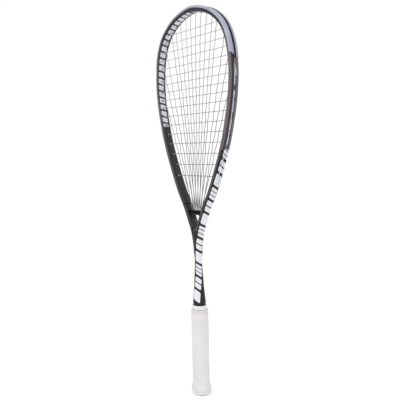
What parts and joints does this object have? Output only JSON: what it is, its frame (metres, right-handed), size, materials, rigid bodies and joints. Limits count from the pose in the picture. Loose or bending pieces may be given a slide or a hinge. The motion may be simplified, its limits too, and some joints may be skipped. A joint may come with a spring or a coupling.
{
  "type": "squash racket",
  "caption": "Strung squash racket: teardrop hoop with bumper guard, woven string bed, throat bridge, slim shaft and oval padded grip with a flared butt.",
  "frame": {"origin": "centre of the butt cap's flat end face", "axes": "+Z along the handle towards the head, X across the head, Y normal to the string bed"},
  "size_m": [0.2092, 0.0346, 0.6858],
  "materials": {
    "frame_lacquer": "satin lacquer over moulded graphite",
    "bumper_plastic": "semi-gloss silver-blue nylon",
    "grommet_plastic": "semi-gloss nylon",
    "string": "smooth coated multifilament",
    "pallet_foam": "matt moulded foam",
    "butt_cap_plastic": "matt moulded plastic",
    "grip_polyurethane": "soft matt polyurethane with fine pores",
    "finishing_tape": "satin adhesive tape",
    "collar_rubber": "matt moulded rubber"
  },
  "bodies": {
    "root": {"frame": "frame_lacquer", "throat_bridge": "frame_lacquer", "bumper_guard": "bumper_plastic", "grommet_strip_left": "grommet_plastic", "grommet_strip_right": "grommet_plastic", "throat_grommet_strip": "grommet_plastic", "main_string": "string", "cross_string": "string", "handle_pallet_front": "pallet_foam", "handle_pallet_back": "pallet_foam", "butt_cap": "butt_cap_plastic", "grip": "grip_polyurethane", "finishing_tape": "finishing_tape", "grip_collar": "collar_rubber"}
  },
  "joints": []
}
